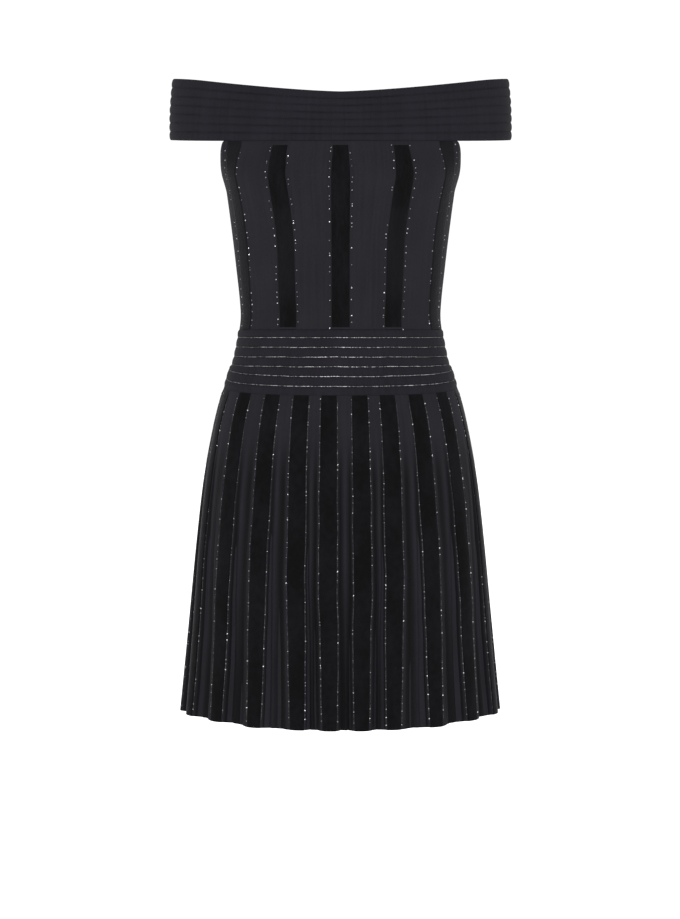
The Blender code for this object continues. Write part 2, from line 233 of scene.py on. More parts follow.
# What is sewn along both edges of the stripes: where it lies across half a stripe, the falls where it
# starts and ends and the points between them, its rise from the cloth and its width, and then the beads'
# spacing, the share of them that is left, and the first seed
Trim = namedtuple("Trim", "beyond start end points rise width spacing kept seed")
BODICE_TRIM = Trim(1.03, 0.030, 0.985, 60, 0.0004, 0.0004, 0.0078, 0.72, 11)
SKIRT_TRIM = Trim(0.98, 0.020, 0.978, 120, 0.0003, 0.00042, 0.0098, 0.66, 31)
TRIM_WANDER = 0.006
BEAD_UNEVENNESS = 0.48

# The studio: a large pale floor well below the dress, and round area lights
FLOOR_SIZE = 14.0
FLOOR_HEIGHT = -1.30
Lamp = namedtuple("Lamp", "name place aim_height power size")
LAMPS = (
    Lamp("key", (-0.4, -2.7, 1.4), -0.3, 33.0, 1.6),
    Lamp("fill", (0.9, -2.5, 0.3), -0.4, 12.0, 1.8),
    Lamp("rim_left", (-2.2, 1.6, 0.9), -0.3, 3.0, 1.4),
    Lamp("rim_right", (2.2, 1.6, 0.9), -0.3, 3.0, 1.4),
)
WORLD_LIGHT = 1.05
CAMERA_LENS = 85.03
CAMERA_PLACE = (-0.0007, -2.6, -0.2604)
CAMERA_AIM = (-0.0007, 0.0, -0.4170)


def lerp(start, end, share):
    return start + (end - start) * share


def eased(share):
    """0 to 1 with soft ends."""
    share = np.clip(share, 0.0, 1.0)
    return share * share * (3.0 - 2.0 * share)


def wander(x, seed):
    """An uneven line between about -1 and 1, the same on each run."""
    return (
        0.5 * np.sin(x + 1.7 * seed)
        + 0.3 * np.sin(2.3 * x + 4.1 * seed + 1.0)
        + 0.2 * np.sin(4.7 * x + 2.9 * seed + 2.0)
    )


def figure_rows(heights):
    """The figure's sections at these heights, on a smooth curve through the rows of FIGURE."""
    table = np.array(FIGURE)
    last = len(FIGURE) - 1
    end = np.clip(np.searchsorted(-table[:, 0], -heights), 1, last)
    before, above, below, after = (table[np.clip(end + step, 0, last)] for step in (-2, -1, 0, 1))
    span = (below - above)[:, :1]
    t = np.clip((heights[:, None] - above[:, :1]) / span, 0.0, 1.0)
    slope_above = (below - before) / (below - before)[:, :1] * span
    slope_below = (after - above) / (after - above)[:, :1] * span
    curve = (
        (2.0 * t**3 - 3.0 * t**2 + 1.0) * above
        + (t**3 - 2.0 * t**2 + t) * slope_above
        + (3.0 * t**2 - 2.0 * t**3) * below
        + (t**3 - t**2) * slope_below
    )
    return curve[:, 1:].T


class Rings:
    """Level sections of the dress, each as points at even shares of half its length."""

    def __init__(self, first, step, half_width, front, back, fullness):
        self.first, self.step = first, step
        turn = np.linspace(0.0, math.pi, OUTLINE_STEPS + 1)
        power = 2.0 / np.asarray(fullness)[:, None]
        ahead = np.sign(np.cos(turn)) * np.abs(np.cos(turn)) ** power
        x = half_width[:, None] * np.abs(np.sin(turn)) ** power
        y = -ahead * np.where(ahead > 0.0, front[:, None], back[:, None])
        steps = np.hypot(np.diff(x), np.diff(y))
        along = np.concatenate([np.zeros((len(x), 1)), np.cumsum(steps, axis=1)], axis=1)
        self.lengths = along[:, -1]
        even = np.linspace(0.0, 1.0, RING_STEPS + 1)
        self.x, self.y = (
            np.array([np.interp(even * row[-1], row, values) for row, values in zip(along, side)])
            for side in (x, y)
        )

    def row(self, level):
        """The row above a level, and the share of the way to the next."""
        row = np.clip((level - self.first) / self.step, 0.0, len(self.lengths) - 1.001)
        return row.astype(int), row - row.astype(int)

    def length(self, level):
        row, t = self.row(level)
        return lerp(self.lengths[row], self.lengths[row + 1], t)

    def at(self, level, share):
        """A point of a section. Shares are minus on the left."""
        share = (share + 1.0) % 2.0 - 1.0
        row, t = self.row(level)
        column = np.abs(share) * RING_STEPS
        near = np.minimum(column.astype(int), RING_STEPS - 1)
        u = column - near
        x, y = (
            lerp(
                lerp(side[row, near], side[row, near + 1], u),
                lerp(side[row + 1, near], side[row + 1, near + 1], u),
                t,
            )
            for side in (self.x, self.y)
        )
        return np.copysign(x, share), y


def figure_rings():
    first = FIGURE[0].height
    heights = np.arange(first, FIGURE[-1].height - 2.0 * SECTION_STEP, -SECTION_STEP)
    return Rings(first, -SECTION_STEP, *figure_rows(heights))


def band_rings():
    falls = np.linspace(0.0, 1.0, BAND_LEVELS)
    edge = Edge(*(lerp(top, bottom, falls) for top, bottom in zip(BAND_TOP, BAND_BOTTOM)))
    swell = BAND_SWELL * 4.0 * falls * (1.0 - falls)
    sizes = (edge.half_width + swell, edge.front + swell, edge.back + swell)
    return Rings(0.0, falls[1], *sizes, np.full(len(falls), 2.0))


FIGURE_RINGS = figure_rings()
BAND_RINGS = band_rings()


def whole_ring(half):
    """The shares of half a ring of stripes, and their mirror image after them."""
    mirrored = [2.0 - share for share in half[::-1] if 0.0 < share.flat[0] < 1.0]
    return np.stack([*half, *mirrored])


def nearest_stripe(place):
    """The number of the nearest stripe, and where the place is across it, from -1 to 1 on the stripe."""
    number = np.floor(place + 0.5).astype(int)
    return number, (place - number) / HALF_STRIPE


def gap_at(place):
    """The stripe before a gap, and the share of the way across the gap."""
    number, side = nearest_stripe(place)
    start = np.where(side > 0.0, number, number - 1)
    return start, (place - start - HALF_STRIPE) / GAP


def panel_share(place, ring, half_width):
    """The share of the ring at a place: a stripe keeps its width, and the gap takes the rest."""

    def centre(stripe):
        turns, index = np.divmod(stripe, len(ring))
        return np.take_along_axis(ring, index[None], axis=0)[0] + 2.0 * turns

    number, side = nearest_stripe(place)
    start, across = gap_at(place)
    in_gap = lerp(centre(start) + half_width, centre(start + 1) - half_width, across)
    return np.where(np.abs(side) <= 1.0, centre(number) + side * half_width, in_gap)


def band_point(share, fall):
    """The band, without its ribs."""
    edge = Edge(*(lerp(top, bottom, fall) for top, bottom in zip(BAND_TOP, BAND_BOTTOM)))
    x, y = BAND_RINGS.at(fall, share)
    out = np.minimum(1.0, np.abs(x) / edge.half_width)
    corner = BAND_CORNER * (1.0 - fall) * np.maximum(0.0, (out - 0.8) / 0.2) ** 2
    height = edge.at_arm + BAND_TILT * y - edge.dip * (1.0 - out**BAND_DIP_POWER) - corner
    return np.stack([x, y, height], axis=-1)


def rib_bend(share, fall):
    """How far the ribs bend off their even spacing, as a share of a rib."""
    return RIB_BEND * wander(RIB_BEND_WAVES * share, RIB_BEND_SEED) * np.sin(math.pi * fall)


def ribs(share, fall, count, start=0.0):
    """How far ribbed cloth stands out, from 0 in the grooves to 1, uneven as knitted ribs are."""
    rib = np.floor(fall * count + start)
    round_top = np.abs(np.sin(math.pi * (fall * count + start + rib_bend(share, fall)))) ** 0.62
    return round_top * (0.90 + 0.10 * wander(23.0 * share + 3.0 * rib, rib))


def waist_ribs(share, fall):
    return ribs(share, fall, WAIST_RIBS, WAIST_RIB_START)


def run_out(fall):
    """1 down the waistband, and 0 at its two seams, where its ribs run out."""
    return eased(fall / 0.03) * eased((1.0 - fall) / 0.08)


def groove_shade(share, fall, height):
    """How dark ribbed cloth is: its grooves, in uneven lengths."""
    return (1.0 - height) ** 2 * (0.45 + 0.25 * wander(19.0 * share + 9.0 * fall, 3.0))


def bodice_edge(share):
    """The bodice's upper edge: along the band, then down round the armhole to the underarm."""
    share = (share + 1.0) % 2.0 - 1.0
    ahead = np.abs(share) <= 0.5
    from_centre = np.where(ahead, np.abs(share), 1.0 - np.abs(share))
    on_band = JOIN_ON_BAND * np.minimum(1.0, from_centre / JOIN_ON_BODICE)
    seam = band_point(np.copysign(np.where(ahead, on_band, 1.0 - on_band), share), np.ones_like(share))
    turn = np.maximum(0.0, from_centre - JOIN_ON_BODICE) / (0.5 - JOIN_ON_BODICE) * math.pi / 2.0
    side = np.copysign(FIGURE_RINGS.at(np.full_like(share, UNDERARM), np.full_like(share, 0.5))[0], share)
    return np.stack([
        lerp(seam[..., 0], side, np.sin(turn)),
        seam[..., 1] * np.cos(turn),
        lerp(seam[..., 2] - SEAM_GAP, UNDERARM, eased(turn / (math.pi / 2.0))),
    ], axis=-1)


def cup(x, y, height):
    """How far the cups swell forward."""
    across = (np.abs(x) - CUP_ACROSS) / CUP_WIDE
    up = (height - CUP_HEIGHT) / CUP_TALL
    return np.where(y < 0.0, CUP_SWELL * np.exp(-across * across - up * up), 0.0)


def bodice_point(place, fall):
    """The bodice, without its stripes."""
    centre_height = lerp(bodice_edge(np.zeros_like(fall))[..., 2], WAIST_SEAM, fall)
    stretch = 1.0 + BODICE_STRETCH * np.exp(-((centre_height - CUP_HEIGHT) / CUP_TALL) ** 2)
    half_width = BODICE_VELVET / 2.0 * stretch / FIGURE_RINGS.length(centre_height)
    starts, whole, fades, ends = BEND_FALLS
    bent = eased((fall - starts) / (whole - starts)) * (1.0 - eased((fall - fades) / (ends - fades)))
    ring = whole_ring([lerp(row.at_top, row.at_foot, fall) + row.bend * bent for row in BODICE_STRIPES])
    share = panel_share(place, ring, half_width)
    edge = bodice_edge(share)
    height = lerp(edge[..., 2], WAIST_SEAM + SEAM_GAP / 2.0, fall)
    x, y = FIGURE_RINGS.at(height, share)
    kept = eased(fall / BLEND_TO_EDGE)
    x, y = lerp(edge[..., 0], x, kept), lerp(edge[..., 1], y, kept)
    return np.stack([x, y - cup(x, y, height) * kept, height], axis=-1)


def seam_tilt(y):
    """How far the skirt seam drops to the front and rises to the back."""
    return y * np.where(y < 0.0, SEAM_TILT_AHEAD, SEAM_TILT_BEHIND)


def waist_point(share, fall):
    """The waistband, without its ribs. Its lower ribs tilt with the skirt seam."""
    height = lerp(WAIST_SEAM - SEAM_GAP / 2.0, SKIRT_SEAM + SEAM_GAP / 2.0, fall)
    x, y = FIGURE_RINGS.at(height, share)
    tilted = eased((fall - 0.5) / 0.25)
    return np.stack([x, y, height + seam_tilt(y) * tilted + SEAM_DROP * (tilted - fall)], axis=-1)


def fold_values(place):
    """The fold at a place, as the values of Fold, and the share of the way across it."""
    folds = np.array(SKIRT_FOLDS + SKIRT_FOLDS[-2:0:-1])
    folds[len(SKIRT_FOLDS):, 3] *= -1.0
    start, across = gap_at(place)
    return Fold(*np.moveaxis(folds[(start + 1) % len(folds)], -1, 0)), np.clip(across, 0.0, 1.0)


def across_fold(place):
    """The fold at a place, and how far in it the place lies: 0 at the stripes and 1 on its ridge."""
    fold, across = fold_values(place)
    leaned = np.clip(across + fold.lean * np.sin(math.pi * across), 0.0, 1.0)
    return fold, 2.0 * np.minimum(leaned, 1.0 - leaned)


def skirt_inset(place, fall):
    """How far inside the pleats' crowns the cloth lies."""
    side = nearest_stripe(place)[1]
    fold, inward = across_fold(place)
    ridge = fold.ridge * (0.85 + 0.25 * wander(7.0 * fall, place.round(0)))
    sunk = np.where(inward < 0.5, eased(2.0 * inward), 1.0 - ridge * eased(2.0 * inward - 1.0))
    opened = eased((fall - fold.start) / (1.0 - fold.start))
    in_fold = (CROWN + fold.depth * sunk) * opened
    return np.where(np.abs(side) <= 1.0, CROWN * side * side * eased(fall / 0.3), in_fold)


def fold_shade(place, fall):
    """How dark the folds are: the troughs beside the stripes most, and the ridge only near the hem."""
    fold, inward = across_fold(place)
    lit = lerp(0.97, np.clip(2.0 * fold.ridge - 0.50, 0.05, 1.0), eased((fall - 0.45) / 0.50))
    trough = eased(inward / 0.22) * (1.0 - lit * eased((inward - 0.3) / 0.7))
    in_fold = np.abs(nearest_stripe(place)[1]) > 1.0
    return np.where(in_fold, trough * eased((fall - 0.09) / 0.18), 0.0)


def painted_velvet_sheen(place, fall):
    """Painted sheen on the bodice's velvet, which makes it paler: most on the side stripes, less low on
    others.
    """
    number, side = nearest_stripe(place)
    number = np.abs((number + 5) % 10 - 5)
    low = 0.40 * eased((fall - 0.32) / 0.08) * (1.0 - eased((fall - 0.78) / 0.12))
    patchy = 0.85 + 0.15 * wander(14.0 * fall + 3.0 * place, 2.0)
    # The painted sheen of each stripe, by its number from centre front
    flat = np.select([(number == 2) | (number == 3), (number == 1) | (number == 4)], [0.95, low], 0.0)
    return np.where(np.abs(side) < 0.90, flat * patchy, 0.0)


def velvet_width(fall):
    """The skirt's stripes widen to the middle of their length and narrow again to the hem."""
    ends = lerp(VELVET_AT_TOP, VELVET_AT_HEM, fall)
    return ends + (VELVET_AT_MIDDLE - (VELVET_AT_TOP + VELVET_AT_HEM) / 2.0) * np.sin(math.pi * fall)


def skirt_point(place, fall):
    """The skirt, without its stripes."""
    height = lerp(SKIRT_SEAM - SEAM_GAP / 2.0, HEM, fall)
    half_width = velvet_width(fall) / 2.0 / FIGURE_RINGS.length(height)
    sway = STRIPE_SWAY * np.sin(math.pi * fall)
    ring = whole_ring([
        lerp(row.at_top, row.at_hem, fall) + sway * wander(9.0 * fall, row.at_top * 40.0)
        for row in SKIRT_STRIPES
    ])
    share = panel_share(place, ring, half_width) + SKIRT_TURN
    x, y = FIGURE_RINGS.at(height, share)
    ahead, behind = (FIGURE_RINGS.at(height, share + step) for step in (half_width, -half_width))
    out_x, out_y = ahead[1] - behind[1], behind[0] - ahead[0]
    inset = skirt_inset(place, fall) / np.hypot(out_x, out_y)
    x, y = x - out_x * inset, y - out_y * inset
    lifts = np.array([row.lift for row in SKIRT_STRIPES + SKIRT_STRIPES[::-1]])
    number, side = nearest_stripe(place)
    start, across = gap_at(place)
    in_gap = lerp(lifts[start % len(lifts)], lifts[(start + 1) % len(lifts)], np.clip(across, 0.0, 1.0))
    lift = np.where(np.abs(side) <= 1.0, lifts[number % len(lifts)], in_gap)
    hang = VELVET_HANG * np.clip(1.0 - np.abs(side) ** 6, 0.0, 1.0) + FOLD_SLACK * skirt_inset(place, fall)
    tilt = seam_tilt(y) * (1.0 - fall)
    return np.stack([x, y, height + tilt + lift * fall**4 - hang * fall**12], axis=-1)


def outward_at(point, place, fall):
    """The level direction square to the cloth, pointing out of it."""
    step = 0.01
    along = point(place + step, fall) - point(place - step, fall)
    outward = np.stack([along[..., 1], -along[..., 0], np.zeros_like(place)], axis=-1)
    return outward / np.linalg.norm(outward, axis=-1, keepdims=True)


def pile(place, fall, rise):
    """The velvet stripes, which stand a little proud, with a round shoulder on each side."""
    side = np.abs(nearest_stripe(place)[1])
    return rise * eased((PILE_EDGE - side) / PILE_SHOULDER) * eased((fall - 0.008) / 0.012)


def creases(place, fall):
    """The height of the bodice's soft creases."""
    height = np.zeros_like(place)
    for row in BODICE_CREASES:
        down = (fall - row.fall) / row.length
        across = (place - row.place - row.slant * (fall - row.fall) / row.length * row.width) / row.width
        height += row.depth * np.exp(-down * down - across * across)
    return height


def striped_places(start, end, ring_count, gap_columns):
    """The columns of a striped panel between its side seams, and which of its faces are velvet."""
    places = []
    velvet = []
    for number in range(math.floor(start), math.ceil(end) + 1):
        for column, side in enumerate(PILE_COLUMNS):
            places.append(number + side * HALF_STRIPE)
            velvet.append(PILE_STRIPE_COLUMNS[0] <= column < PILE_STRIPE_COLUMNS[1])
        for column in range(1, gap_columns):
            places.append(number + HALF_STRIPE + GAP * column / gap_columns)
            velvet.append(False)
    margin = SIDE_SEAM_SHARE * ring_count / 4.0
    start, end = start + margin, end - margin
    inside = [column for column, place in enumerate(places) if start < place < end]
    columns = np.array([start, *(places[column] for column in inside), end])
    return columns, np.array([velvet[inside[0] - 1], *(velvet[column] for column in inside), False])


def even_columns(start, columns):
    """Evenly spaced shares over half the ring, held back from both side seams."""
    margin = SIDE_SEAM_SHARE / 2.0
    return np.linspace(start + margin, start + 1.0 - margin, columns + 1)


def quads(number):
    """The faces of a grid of points."""
    corners = (number[:-1, :-1], number[1:, :-1], number[1:, 1:], number[:-1, 1:])
    return np.stack(corners, axis=-1).reshape(-1, 4)


def kept_columns(count):
    """The columns that the lining keeps."""
    return np.unique([*range(0, count, LINING_STEP), count - 1])


def panel_mesh(name, point, relief, thickness, places, falls, measures, painted_light, velvet, looks, rolled,
               velvet_falls=(0.0, 1.0)):
    """A panel of cloth as a closed shell: its outer face, a plain lining, and rounded cut edges.

    Measures are the panel's width and length, for the UV map. The function after the measures gives how much
    light or shade is painted on each point, from 0 to 1: painted shade on the knit, painted sheen on the
    velvet. Rolled are the thicknesses of the soft roll at the upper edge and at the lower edge. Velvet
    falls are the falls between which the stripes are velvet.
    """
    place, fall = np.meshgrid(places, falls)
    outward = outward_at(point, place, fall)
    base = point(place, fall)
    outer = base + outward * relief(place, fall)[..., None]
    lining = base - outward * thickness
    along = np.stack([-outward[..., 1], outward[..., 0], np.zeros_like(place)], axis=-1)
    lap = SEAM_LAP * (1.0 + 3.0 * np.maximum(0.0, 1.0 - 4.0 * falls))[:, None]
    lining[:, 0] -= along[:, 0] * lap
    lining[:, -1] += along[:, -1] * lap
    points = [outer.reshape(-1, 3)]
    rows, columns = place.shape
    number = np.arange(rows * columns).reshape(rows, columns)
    faces = quads(number).tolist()
    in_velvet = (falls[:-1] >= velvet_falls[0]) & (falls[1:] <= velvet_falls[1])
    velvet_faces = (in_velvet[:, None] & velvet[None, :-1].astype(bool)).astype(int)
    marks = velvet_faces.reshape(-1).tolist()

    keep_rows, keep_columns = kept_columns(rows), kept_columns(columns)
    inner = lining[np.ix_(keep_rows, keep_columns)]
    inner_number = rows * columns + np.arange(len(keep_rows) * len(keep_columns))
    inner_number = inner_number.reshape(len(keep_rows), len(keep_columns))
    points.append(inner.reshape(-1, 3))
    faces += quads(inner_number)[:, [0, 3, 2, 1]].tolist()

    used = rows * columns + inner_number.size
    for end, roll, sign in ((0, rolled[0], 1.0), (-1, rolled[1], -1.0)):
        middle = lerp(outer[end], lining[end], 0.5) + np.array([0.0, 0.0, sign * roll])
        points.append(middle)
        roll_number = used + np.arange(columns)
        used += columns
        faces += close_strip(number[end], roll_number, np.arange(columns), sign > 0)
        faces += close_strip(roll_number, inner_number[end], keep_columns, sign > 0)
    for end, turned in ((0, False), (-1, True)):
        edge = list(number[:, end])
        inner_edge = list(inner_number[:, end])
        ends = [rows * columns + inner_number.size, rows * columns + inner_number.size + columns]
        corner = 0 if end == 0 else columns - 1
        faces += close_strip(number[:, end], inner_number[:, end], keep_rows, turned)
        for roll_end, first in zip((0, -1), ends):
            corner_face = [edge[roll_end], first + corner, inner_edge[roll_end]]
            faces.append(corner_face if turned == (roll_end == -1) else corner_face[::-1])
    marks += [0] * (len(faces) - len(marks))

    mesh = bpy.data.meshes.new(f"{name}_cloth")
    points = np.concatenate(points)
    mesh.from_pydata(points.tolist(), [], faces)
    mesh.polygons.foreach_set("material_index", marks)
    # How much light or shade is painted on each point: painted shade on the knit, painted sheen on the
    # velvet, and none on the lining and cut edges
    depth = np.concatenate([painted_light(place, fall).reshape(-1), np.zeros(len(points) - rows * columns)])
    mesh.attributes.new("painted_light", "FLOAT", "POINT").data.foreach_set("value", depth)
    across = (place - places[0]) / (places[-1] - places[0]) * measures[0]
    flat_map = np.stack([across, -fall * measures[1]], axis=-1)
    edges_map = [flat_map[0], flat_map[-1]]
    inner_map = flat_map[np.ix_(keep_rows, keep_columns)]
    everywhere = np.concatenate([flat_map.reshape(-1, 2), inner_map.reshape(-1, 2), *edges_map])
    corners = np.empty(len(mesh.loops), dtype=int)
    mesh.loops.foreach_get("vertex_index", corners)
    mesh.uv_layers.new(name="cloth").data.foreach_set("uv", everywhere[corners].reshape(-1))
    for look in looks:
        mesh.materials.append(look)
    mesh.shade_smooth()
    mesh.set_sharp_from_angle(angle=math.radians(60.0))
    mesh.validate()
    panel = bpy.data.objects.new(f"{name}_cloth", mesh)
    bpy.context.scene.collection.objects.link(panel)
    return panel


def close_strip(edge, inner, kept, turned):
    """Faces between an edge and one that keeps only some of its columns."""
    faces = []
    for step in range(len(kept) - 1):
        face = [*edge[kept[step]:kept[step + 1] + 1], inner[step + 1], inner[step]]
        faces.append([int(corner) for corner in (face[::-1] if turned else face)])
    return faces


class Number:
    """A number socket of a node tree. Sums written on it become Math nodes."""

    def __init__(self, tree, socket):
        self.tree, self.socket = tree, socket

    def sum(self, operation, *values, clamp=False):
        settings = {"operation": operation, "use_clamp": clamp}
        made = self.tree.add("ShaderNodeMath", settings, dict(enumerate(values)))
        return Number(self.tree, made.outputs[0])

    def __add__(self, other):
        return self.sum("ADD", self, other)

    def __sub__(self, other):
        return self.sum("SUBTRACT", self, other)

    def __rsub__(self, other):
        return self.sum("SUBTRACT", other, self)

    def __mul__(self, other):
        return self.sum("MULTIPLY", self, other)

    def __pow__(self, other):
        return self.sum("POWER", self, other)

    __radd__ = __add__
    __rmul__ = __mul__

    def sine(self):
        return self.sum("SINE", self)

    def size(self):
        return self.sum("ABSOLUTE", self)

    def clamped(self):
        return self.sum("ADD", self, 0.0, clamp=True)

    def over(self, low, high):
        """0 below low, 1 above high, and a straight line between."""
        return self.sum("MULTIPLY", self - low, 1.0 / (high - low), clamp=True)


class Tree:
    """A node tree, with one method for every node in it."""

    def __init__(self, nodes):
        self.nodes = nodes

    def add(self, kind, settings=None, inputs=None):
        """A node of a type, its settings, and the values or links of its sockets."""
        node = self.nodes.nodes.new(kind)
        for setting, value in (settings or {}).items():
            setattr(node, setting, value)
        for socket, value in (inputs or {}).items():
            if isinstance(value, Number):
                value = value.socket
            if isinstance(value, bpy.types.NodeSocket):
                self.nodes.links.new(value, node.inputs[socket])
            else:
                node.inputs[socket].default_value = value
        return node

    def noise(self, vector, scale, detail=2.0):
        made = self.add("ShaderNodeTexNoise", {}, {"Vector": vector, "Scale": scale, "Detail": detail})
        return Number(self, made.outputs["Factor" if "Factor" in made.outputs else 0])

    def painted(self, attribute):
        """The value that the mesh carries under this name."""
        return Number(self, self.add("ShaderNodeAttribute", {"attribute_name": attribute}).outputs["Fac"])

    def stretched(self, vector, sizes):
        made = self.add("ShaderNodeMapping", {}, {"Vector": vector, "Scale": sizes})
        return made.outputs[0]

    def mixed(self, share, start, end):
        """A colour between two others."""
        made = self.add("ShaderNodeMix", {"data_type": "RGBA"}, {0: share, 6: start, 7: end})
        return made.outputs[2]

    def bump(self, height, distance, strength=1.0, under=None):
        sockets = {"Height": height, "Distance": distance, "Strength": strength}
        if under is not None:
            sockets["Normal"] = under
        return self.add("ShaderNodeBump", {}, sockets).outputs[0]


def new_material(name, constants, build):
    """A material whose shader has these constants, and the sockets that build gives for the rest."""
    made = bpy.data.materials.new(name)
    made.use_nodes = True
    tree = Tree(made.node_tree)
    shader = made.node_tree.nodes["Principled BSDF"]
    for socket, value in constants.items():
        shader.inputs[socket].default_value = value
    for socket, value in build(tree).items():
        source = value.socket if isinstance(value, Number) else value
        made.node_tree.links.new(source, shader.inputs[socket])
    return made


def colour(rgb, brightness=1.0):
    return (*(value * brightness for value in rgb[:3]), 1.0)


def knit_material(name, tone, painted_shade_tone, wale, course):
    """Fine knit: needle lines down the cloth, small stitches along them, uneven yarn, and painted shade."""

    def build(tree):
        flat = tree.add("ShaderNodeUVMap", {"uv_map": "cloth"}).outputs[0]
        split = tree.add("ShaderNodeSeparateXYZ", {}, {0: flat})
        across, down = (Number(tree, split.outputs[axis]) for axis in (0, 1))
        painted_light = tree.painted("painted_light")
        streaks = tree.noise(tree.stretched(flat, (420.0, 9.0, 1.0)), 1.0, 3.0)
        long_streaks = tree.noise(tree.stretched(flat, (150.0, 4.0, 1.0)), 1.0, 2.0)
        yarn = tree.noise(tree.stretched(flat, (900.0, 260.0, 1.0)), 1.0, 2.0)
        cloudy = tree.noise(tree.stretched(flat, (26.0, 18.0, 1.0)), 1.0, 2.0)
        needle = (across * (math.pi / wale)).sine().size()
        slant = (needle * 0.9 + down * (2.0 * math.pi / course)).sine() * 0.5 + 0.5
        stitches = needle * 0.7 + slant * needle * 0.3
        light = (streaks * 0.45 + yarn * 0.25 + cloudy * 0.30).over(0.28, 0.72)
        worn = tree.mixed(light, colour(tone, 0.72), colour(tone, 1.32))
        # Painted shade: the knit darkened towards the painted shade tone in its folds and grooves, as far as
        # the mesh says
        deep = tree.mixed((painted_light * 0.92).clamped(), worn, colour(painted_shade_tone))
        rough = 0.80 + 0.14 * streaks
        coarse = tree.bump(long_streaks * 0.6 + streaks * 0.4, 0.0007, 0.55)
        fine = tree.bump(stitches + yarn * 0.5, 0.00028, 0.6, coarse)
        return {"Base Color": deep, "Roughness": rough, "Normal": fine}

    constants = {
        "Metallic": 0.0, "Specular IOR Level": 0.08, "Sheen Weight": 0.02, "Sheen Roughness": 0.45,
        "Sheen Tint": (0.75, 0.74, 0.80, 1.0),
    }
    return new_material(name, constants, build)


def velvet_material(name, tone, brushed_tone):
    """Velvet pile, near black, with soft patches where the pile is brushed the other way, and painted sheen.
    """

    def build(tree):
        flat = tree.add("ShaderNodeUVMap", {"uv_map": "cloth"}).outputs[0]
        patches = tree.noise(tree.stretched(flat, (34.0, 13.0, 1.0)), 1.0, 3.0)
        fibres = tree.noise(tree.stretched(flat, (1500.0, 500.0, 1.0)), 1.0, 2.0)
        crushed = tree.noise(tree.stretched(flat, (210.0, 120.0, 1.0)), 1.0, 3.0)
        brushed = (patches * 0.5 + fibres * 0.2 + crushed * 0.3).over(0.43, 0.60)
        tuft = tree.bump(fibres * 0.4 + crushed * 0.6, 0.0010, 0.6)
        painted_sheen = tree.painted("painted_light")
        pile_tone = tree.mixed(brushed, colour(tone), colour(brushed_tone))
        return {
            # Painted sheen: the velvet made paler, up to 1.7 times the brushed colour, where the mesh says
            "Base Color": tree.mixed(painted_sheen, pile_tone, colour(brushed_tone, 1.7)),
            "Roughness": 0.86 + 0.12 * fibres,
            "Normal": tuft,
        }

    constants = {
        "Metallic": 0.0, "Specular IOR Level": 0.06, "Sheen Weight": 0.12, "Sheen Roughness": 0.30,
        "Sheen Tint": (0.72, 0.72, 0.78, 1.0),
    }
    return new_material(name, constants, build)


def thread_material(name, dull, bright):
    """Metallic thread, which glints in short uneven lengths."""

    def build(tree):
        here = tree.add("ShaderNodeTexCoord").outputs["Object"]
        glints = tree.noise(here, 190.0, 2.0)
        fine = tree.noise(here, 900.0, 1.0)
        share = (glints * 0.45 + fine * 0.55).over(0.46, 0.60)
        return {
            "Base Color": tree.mixed(share, colour(dull), colour(bright)),
            "Roughness": 0.62 - 0.30 * share,
            "Normal": tree.bump(fine, 0.0001, 0.5),
        }

    return new_material(name, {"Metallic": 0.75, "Specular IOR Level": 0.4}, build)


def bead_material(name, dull, bright):
    """Small silver-lined beads with painted glints: each has its own brightness, bright on only a few."""

    def build(tree):
        own = tree.painted("painted_bead_glint")
        here = tree.add("ShaderNodeTexCoord").outputs["Object"]
        fine = tree.noise(here, 1400.0, 1.0)
        share = (own * 0.9 + fine * 0.1).clamped()
        return {
            "Base Color": tree.mixed(share, colour(dull), colour(bright)),
            "Roughness": 0.42 - 0.28 * share,
            "Normal": tree.bump(fine, 0.0001, 0.3),
        }

    return new_material(name, {"Metallic": 0.9, "Coat Weight": 0.4, "Coat Roughness": 0.08}, build)


def sizes():
    return bpy.context.scene.dress_sizes


def look(name):
    """A material of the dress, made on its first use."""
    tones = bpy.context.scene.dress_colours
    makers = {
        "rib_knit_cloth": lambda: knit_material(name, tones.rib_knit, tones.painted_light, 0.0016, 0.0014),
        "panel_knit_cloth": lambda: knit_material(name, tones.knit, tones.painted_light, 0.0013, 0.0011),
        "velvet_stripe": lambda: velvet_material(name, tones.velvet, tones.velvet_brushed),
        "metallic_thread": lambda: thread_material(name, tones.thread, tones.thread_glint),
        "edge_thread": lambda: thread_material(name, tones.edge_thread, tones.edge_glint),
        "silver_bead": lambda: bead_material(name, tones.bead_dull, tones.bead),
    }
    return bpy.data.materials.get(name) or makers[name]()


def lines_mesh(name, lines):
    """Lines of points to sew along. Each line is its points, the outward directions and the thicknesses."""
    mesh = bpy.data.meshes.new(name)
    points = np.concatenate([line[0] for line in lines])
    edges = []
    used = 0
    for line in lines:
        edges += [(used + step, used + step + 1) for step in range(len(line[0]) - 1)]
        used += len(line[0])
    mesh.from_pydata(points.tolist(), edges, [])
    outward = np.concatenate([line[1] for line in lines])
    mesh.attributes.new("outward", "FLOAT_VECTOR", "POINT").data.foreach_set("vector", outward.reshape(-1))
    weight = np.concatenate([line[2] for line in lines])
    mesh.attributes.new("weight", "FLOAT", "POINT").data.foreach_set("value", weight)
    guide = bpy.data.objects.new(name, mesh)
    bpy.context.scene.collection.objects.link(guide)
    return guide


def node_group(name, inputs):
    """A Geometry Nodes tree with named inputs, each given as its name and socket type."""
    group = bpy.data.node_groups.new(name, "GeometryNodeTree")
    group.interface.new_socket("Geometry", in_out="INPUT", socket_type="NodeSocketGeometry")
    for label, kind in inputs:
        group.interface.new_socket(label, in_out="INPUT", socket_type=kind)
    group.interface.new_socket("Geometry", in_out="OUTPUT", socket_type="NodeSocketGeometry")
    tree = Tree(group)
    return group, tree, tree.add("NodeGroupInput").outputs


